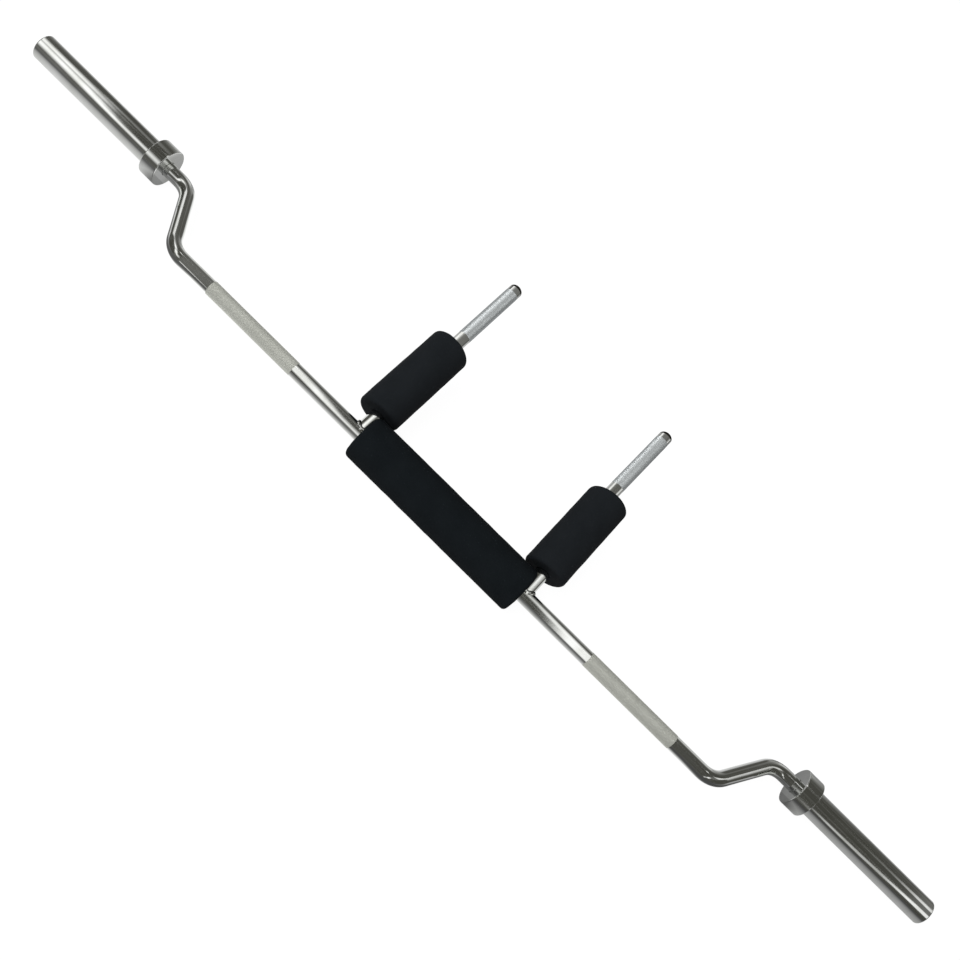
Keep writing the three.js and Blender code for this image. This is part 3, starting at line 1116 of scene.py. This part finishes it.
def makeFloor():
    # white to the camera, with the bar's own shadow; metal sees a painted glow on the paper near the bar
    # and a dark room past it
    material, tree = newMaterial("paper", bare=True)
    axes = addNode(tree, "ShaderNodeSeparateXYZ", {"Vector": ownPlace(tree)})
    farX = calc(tree, "ABSOLUTE", axes["X"])
    lineY = between(tree, farX, rollMiddle.y, sleeveLine.y, *paintedSheen["lineX"])
    offY = calc(tree, "SUBTRACT", axes["Y"], lineY)
    toBend = between(tree, farX, 0, 1, *paintedSheen["bendX"])
    toEnd = between(tree, farX, 0, 1, *paintedSheen["endX"])

    def times(first, second):
        return calc(tree, "MULTIPLY", first, second)

    def alongBar(row):
        bend = between(tree, toBend, row[0], row[1], 0, 1)
        return between(tree, toEnd, bend, row[2], 0, 1)

    def falling(scale, power):
        share = calc(tree, "DIVIDE", calc(tree, "ABSOLUTE", offY), scale)
        return calc(tree, "EXPONENT", times(calc(tree, "POWER", share, power), -1))

    # painted shadow on the paper under the collars, seen by the metal alone
    fromCollar = between(tree, farX, 0, 1, *paintedSheen["collarFrom"])
    underCollar = times(fromCollar, between(tree, farX, 1, 0, *paintedSheen["collarTo"]))
    frontShade, backShade = [between(tree, underCollar, 1, 1 - dim, 0, 1) for dim in paintedSheen["collarShade"]]
    front = falling(alongBar(paintedSheen["frontScale"]), alongBar(paintedSheen["frontPower"]))
    front = times(times(front, alongBar(paintedSheen["front"])), frontShade)
    back = falling(paintedSheen["backScale"], paintedSheen["backPower"])
    back = times(times(back, alongBar(paintedSheen["back"])), backShade)
    behind = calc(tree, "GREATER_THAN", offY, 0)
    near = addNode(tree, "ShaderNodeMix", {0: behind, 2: front, 3: back})[0]
    beyondMost = between(tree, farX, *paintedSheen["beyond"], *paintedSheen["beyondX"])
    beyondMost = times(beyondMost, between(tree, farX, *paintedSheen["beyondFade"], *paintedSheen["beyondEnd"]))
    beyond = times(between(tree, offY, 0, 1, *paintedSheen["beyondY"]), beyondMost)
    # the painted glow: near the bar, along it and past its ends, lighter on the left half
    glow = calc(tree, "ADD", calc(tree, "ADD", near, alongBar(paintedSheen["far"])), beyond)
    glow = times(glow, between(tree, axes["X"], *paintedSheen["leftRight"], *paintedSheen["leftRightX"]))
    seen, shiny = seenDirectly(tree)
    paper = addNode(tree, "ShaderNodeBsdfDiffuse", {"Color": studio["floorShade"]})[0]
    shown = mixedShader(tree, studio["floorShadow"], glowing(tree, studio["floorWhite"]), paper)
    background = mixedShader(tree, shiny, shown, glowing(tree, glow))
    addNode(tree, "ShaderNodeOutputMaterial", {"Surface": mixedShader(tree, seen, paper, background)})
    half = studio["floorSize"] / 2
    corners = [(-half, -half, 0), (half, -half, 0), (half, half, 0), (-half, half, 0)]
    mesh = newMesh("floor", corners, [(0, 1, 2, 3)])
    mesh.materials.append(material)
    floor = addObject("floor", mesh)


def onlyReflected(name, mesh, material):
    material.cycles.emission_sampling = "NONE"
    mesh.materials.append(material)
    obj = addObject(name, mesh)
    obj.visible_camera = False
    obj.visible_diffuse = False
    obj.visible_shadow = False
    obj.visible_transmission = False
    return obj


tent = {
    "radius": 12.0,
    "segments": 48,
    "shade": (0.068, 0.067, 0.058, 1),
    "pale": (0.13, 0.13, 0.12, 1),
    "patch": 2.0,
    "patchRange": (0.45, 0.75),
}


def makeTent():
    # a dark room round the bar that only the metal sees
    shell = bmesh.new()
    segments = tent["segments"]
    bmesh.ops.create_uvsphere(shell, u_segments=segments, v_segments=segments // 2, radius=tent["radius"])
    mesh = bpy.data.meshes.new("darkTent")
    shell.to_mesh(mesh)
    shell.free()
    material, tree = newMaterial("darkTent", bare=True)
    patches = blotches(tree, ownPlace(tree), tent["patch"], 3)
    color = mixedColor(tree, between(tree, patches, 0, 1, *tent["patchRange"]), tent["shade"], tent["pale"])
    addNode(tree, "ShaderNodeOutputMaterial", {"Surface": glowing(tree, 1.0, color)})
    onlyReflected("darkTent", mesh, material)


# Cards of light bent round the bar's line, seen by the metal alone. Each has its lower and upper fade, in
# degrees, and its stations: (metres along the bar, strength, lowest and highest angle). The angles are in
# degrees above the horizon in front of the bar; past 90 a card leans over to the back. A station without
# angles keeps those of the one before it.
cardRadius = 3.0
cardDetail = 0.05
cardColumns = 24
roomLine = Vector((0, (rollMiddle.y + sleeveLine.y) / 2, sleeveLine.z))
topStripParts = ((-2.05, -1.83), (-1.5, -1.0), (-0.57, 0.45), (0.9, 1.40), (1.75, 1.94))
barCards = {
    "rightTubeLamp": (7, 8, [
        (2.05, 0, 12, 14), (2.18, 0.25, 16, 20), (2.24, 0.6, 12, 20), (2.45, 0.5, 15, 28),
        (2.53, 0.45, 20, 32), (2.6, 0.5, 24, 35), (2.66, 0.75, 30, 40), (2.71, 1, 32, 43),
        (2.8, 1.1, 34, 52), (2.85, 0.9, 35, 53), (3.1, 1, 36, 54), (3.3, 0),
    ]),
    "rightTopLamp": (8, 12, [
        (2.38, 0, 97, 98), (2.5, 0.1), (2.6, 0.08, 97, 99), (2.64, 0.25, 96, 102), (2.7, 0.42, 96, 105),
        (2.79, 0.8, 96, 108), (2.85, 0.65, 96, 110), (3.6, 0.7), (3.8, 0),
    ]),
    "rightHaze": (10, 10, [(2.7, 0, 60, 165), (2.79, 0.1), (3.8, 0.1), (4.0, 0)]),
    "leftWindowLow": (36, 16, [(-3.4, 0, 58, 66), (-3.2, 1.3), (-2.6, 1.2, 57, 66), (-2.43, 0, 57, 60)]),
    "leftWindowHigh": (22, 34, [
        (-3.4, 0, 91, 93), (-3.2, 1.25), (-2.75, 1.2), (-2.6, 0.95, 91, 94), (-2.44, 0),
    ]),
    "leftLowHaze": (12, 12, [(-3.4, 0, 4, 18), (-3.2, 0.09), (-2.2, 0.04), (-2.0, 0)]),
    "leftSlit": (18, 22, [
        (-2.85, 0, 38, 39), (-2.62, 0.5), (-2.5, 1.05), (-2.25, 1, 38, 38), (-2, 0.5, 36, 38), (-1.9, 0),
    ]),
    "leftGhost": (10, 10, [
        (-2.62, 0, 118, 124), (-2.5, 0.3), (-2.42, 0.16, 117, 124), (-2.2, 0.13, 116, 124), (-2.0, 0),
    ]),
    "leftHaze": (15, 15, [(-1.85, 0, 15, 130), (-1.78, 0.08), (-1.6, 0.1), (-1.5, 0.05), (-1.42, 0)]),
    "leftSoftBox": (30, 60, [
        (-1.2, 0, 42, 78), (-1.12, 1.15), (-0.95, 1.15, 41, 78), (-0.86, 1.15, 34, 64),
        (-0.78, 1.15, 32, 46), (-0.73, 1.15, 30, 30), (-0.7, 1.1, 30, 16), (-0.62, 1.1),
        (-0.5, 0.9, 30, 14), (-0.45, 0),
    ]),
    "rightSoftBox": (30, 44, [
        (0.61, 0, 20, 92), (0.66, 0.4), (0.69, 0.95), (0.74, 1.15), (0.95, 1.15, 20, 84), (1.08, 1.15),
        (1.14, 0),
    ]),
    "rightTopGlow": (30, 44, [
        (0.36, 0, 102, 104), (0.42, 0.5), (0.553, 0.62), (0.58, 0.8, 94, 102), (0.633, 0.9, 88, 100),
        (0.66, 0.65, 86, 98), (0.69, 0.25, 86, 96), (0.74, 0, 86, 92),
    ]),
    "leftBendLamp": (3, 7, [(-1.8, 0, 1, 4), (-1.74, 1.1), (-1.63, 0.9), (-1.56, 0.5), (-1.5, 0)]),
    "leftSlantLamp": (8, 8, [
        (-8.0, 0, 122, 128), (-6.4, 0.35, 122, 130), (-5.0, 0.9, 120, 130), (-3.12, 0.9), (-3.0, 0),
    ]),
    "rightSlantLamp": (8, 8, [
        (2.86, 0, 120, 130), (3.0, 0.55), (4.5, 0.5, 119, 128), (5.5, 0.15), (8.0, 0),
    ]),
    "topHaze": (8, 14, [(-1.6, 0, 106, 116), (-1.5, 0.08), (1.2, 0.08), (1.35, 0)]),
    "backWall": (46, 4, [
        (-3.4, 0.2, 180, 186), (-2.95, 0.17), (-2.6, 0.05), (-2.3, 0.02), (-2, 0.3), (-1.75, 0.75),
        (-1.43, 0.75), (-1.3, 0.37), (-0.95, 0.32), (-0.7, 0.2), (-0.6, 0.05), (0.5, 0.02), (0.6, 0.15),
        (0.85, 0.32), (1.3, 0.36), (1.43, 0.75), (1.75, 0.75), (2.05, 0.2), (2.2, 0.1), (2.4, 0.04), (3, 0),
    ]),
}
for index, (start, end) in enumerate(topStripParts):
    barCards[f"topStrip{index + 1}"] = (2, 2, [(start, 1.1, 96, 102), (end, 1.1)])

# The arms point at the camera, so they mirror another part of the room than the bar does. The first word of
# each of their cards is the group of pieces that sees it.
groupPieces = {}
for side in armPlace:
    groupPieces[side] = (f"{side}ArmTube", f"{side}GripKnurl", f"{side}GripPlug")
    groupPieces[f"{side}Tube"] = (f"{side}ArmTube", f"{side}GripKnurl")
    groupPieces[f"{side}Grip"] = (f"{side}GripKnurl",)
armCards = {
    "leftArmStrip": ("left", 6, 6, [
        (-5.5, 0, 98, 108), (-3.4, 0.45, 95, 102), (-2.35, 1.0, 93, 99), (-1.5, 1.25, 92, 98), (-0.9, 1.25),
        (-0.36, 0.95), (0.2, 0.5), (0.78, 0.1), (1.4, 0),
    ]),
    "leftArmWall": ("leftTube", 10, 12, [
        (-6.6, 0, 138, 170), (-5.6, 0.8, 138, 176), (-5.0, 1.1, 136, 168), (-4.6, 1.1, 131, 146),
        (-4.2, 1.1, 126, 138), (-3.6, 1.15, 119, 136), (-2.9, 1.0, 114, 140), (-2.1, 0.5, 109, 140),
        (-1.4, 0.26, 107, 140), (-0.8, 0.14, 106, 140), (4.8, 0.1, 106, 160), (5.2, 0),
    ]),
    "rightArmStrip": ("right", 6, 3, [
        (-1.0, 0, 92, 97), (-0.08, 0.33), (0.48, 0.85), (1.06, 1.15, 92, 98), (1.7, 1.0, 93, 99),
        (2.5, 0.85, 95, 102), (3.6, 0.55, 99, 109), (5.2, 0.2, 106, 124), (7, 0, 110, 130),
    ]),
    "rightArmWall": ("rightTube", 10, 12, [
        (-6, 0, 138, 170), (-5.2, 0.3), (-4.5, 0.75, 136, 168), (-3.8, 1.1, 132, 162), (-3, 1.0, 128, 152),
        (-2.3, 0.3, 122, 142), (-1.6, 0.12, 112, 135), (1, 0.1, 110, 130), (2.5, 0.04, 112, 130),
        (2.8, 0.1, 122, 136), (3.6, 0.4, 124, 130), (4.0, 0.7, 126, 134), (4.4, 0.8, 128, 160),
        (5.2, 0.8, 130, 170), (6.5, 0),
    ]),
    "leftGripGlow": ("leftGrip", 12, 14, [
        (-4.8, 0, 142, 158), (-3.9, 2.0, 130, 144), (-2.8, 2.1, 118, 134), (-2.0, 1.5, 112, 126),
        (-1.4, 0.5, 108, 118), (-0.8, 0, 106, 114), (0.5, 0), (1.2, 0.9, 108, 120), (2.6, 1.4, 116, 132),
        (4.4, 0.9, 140, 160), (5.2, 0, 150, 170),
    ]),
    "rightGripGlow": ("rightGrip", 12, 12, [
        (-5.6, 0, 140, 180), (-4.6, 3.0, 140, 184), (-3.9, 3.0, 134, 178), (-3.2, 2.4, 126, 158),
        (-2.4, 1.8, 120, 142), (-1.7, 1.0, 114, 132), (-1.0, 0.8, 110, 124), (-0.2, 0.5, 108, 118),
        (0.8, 0.4, 106, 114), (2.2, 0.5, 112, 122), (3.0, 0),
    ]),
}


def makeCardLight():
    material, tree = newMaterial("cardLight", bare=True)
    light = glowing(tree, addNode(tree, "ShaderNodeAttribute", attribute_name="glow")["Fac"])
    clear = addNode(tree, "ShaderNodeBsdfTransparent")[0]
    both = addNode(tree, "ShaderNodeAddShader", {0: light, 1: clear})[0]
    addNode(tree, "ShaderNodeOutputMaterial", {"Surface": both})
    return material


def cardRows(stations):
    full = []
    for along, strength, *angles in stations:
        full.append((along, strength, *(angles or full[-1][2:])))
    rows = []
    for first, second in zip(full, full[1:]):
        count = max(1, round((second[0] - first[0]) / cardDetail))
        for step in range(count):
            rows.append([a + (b - a) * step / count for a, b in zip(first, second)])
    return rows + [full[-1]]


def makeCard(name, group, lowFade, highFade, stations):
    rows = cardRows(stations)
    points = []
    glows = []
    for along, strength, low, high in rows:
        bottom = low - lowFade
        top = high + highFade
        for step in range(cardColumns + 1):
            degrees = bottom + (top - bottom) * step / cardColumns
            rise = min(1, (degrees - bottom) / lowFade, (top - degrees) / highFade)
            angle = math.radians(degrees)
            outward = Vector((0, -math.cos(angle), math.sin(angle)))
            points.append(roomLine + Vector((along, 0, 0)) + outward * cardRadius)
            glows.append(strength * rise * rise * (3 - 2 * rise))
    width = cardColumns + 1
    faces = []
    for row in range(len(rows) - 1):
        for step in range(cardColumns):
            corner = row * width + step
            faces.append((corner, corner + 1, corner + width + 1, corner + width))
    mesh = newMesh(name, points, faces)
    mesh.attributes.new("glow", "FLOAT", "POINT").data.foreach_set("value", glows)
    card = onlyReflected(name, mesh, cardLight)
    card.light_linking.receiver_collection = mirrors[group]


def shinyGroups():
    # which pieces mirror which cards
    groups = {name: bpy.data.collections.new(f"{name}Mirrors") for name in ("bar", *groupPieces)}
    for piece in [obj for obj in bpy.context.scene.objects if obj.type == "MESH"]:
        joined = [name for name, pieces in groupPieces.items() if piece.name in pieces]
        for name in joined or ["bar"]:
            groups[name].objects.link(piece)
    return groups


def makeKeyLamp():
    data = bpy.data.lights.new("keyLamp", "AREA")
    data.shape = "DISK"
    data.size = studio["lampSize"]
    data.energy = studio["lampPower"]
    lamp = addObject("keyLamp", data)
    lamp.location = studio["lampPlace"]
    lamp.rotation_euler = (-lamp.location).to_track_quat("-Z", "Y").to_euler()
    lamp.visible_glossy = False


mirrors = shinyGroups()
makeWorld()
makeFloor()
makeTent()
cardLight = makeCardLight()
for name, card in barCards.items():
    makeCard(name, "bar", *card)
for name, card in armCards.items():
    makeCard(name, *card)
makeKeyLamp()
bpy.context.scene.view_settings.view_transform = "Standard"

camera = {
    "place": (0.0358009, -1.2415128, 1.4359829),
    "turn": (31.38472667, -26.2602845, 37.3778123),
    "lens": 38.486,
    "sensor": 36,
}


def makeCamera():
    data = bpy.data.cameras.new("photoCamera")
    data.lens = camera["lens"]
    data.sensor_width = camera["sensor"]
    obj = addObject("photoCamera", data)
    obj.location = camera["place"]
    obj.rotation_euler = [math.radians(angle) for angle in camera["turn"]]
    bpy.context.scene.camera = obj


makeCamera()
print("studio made")
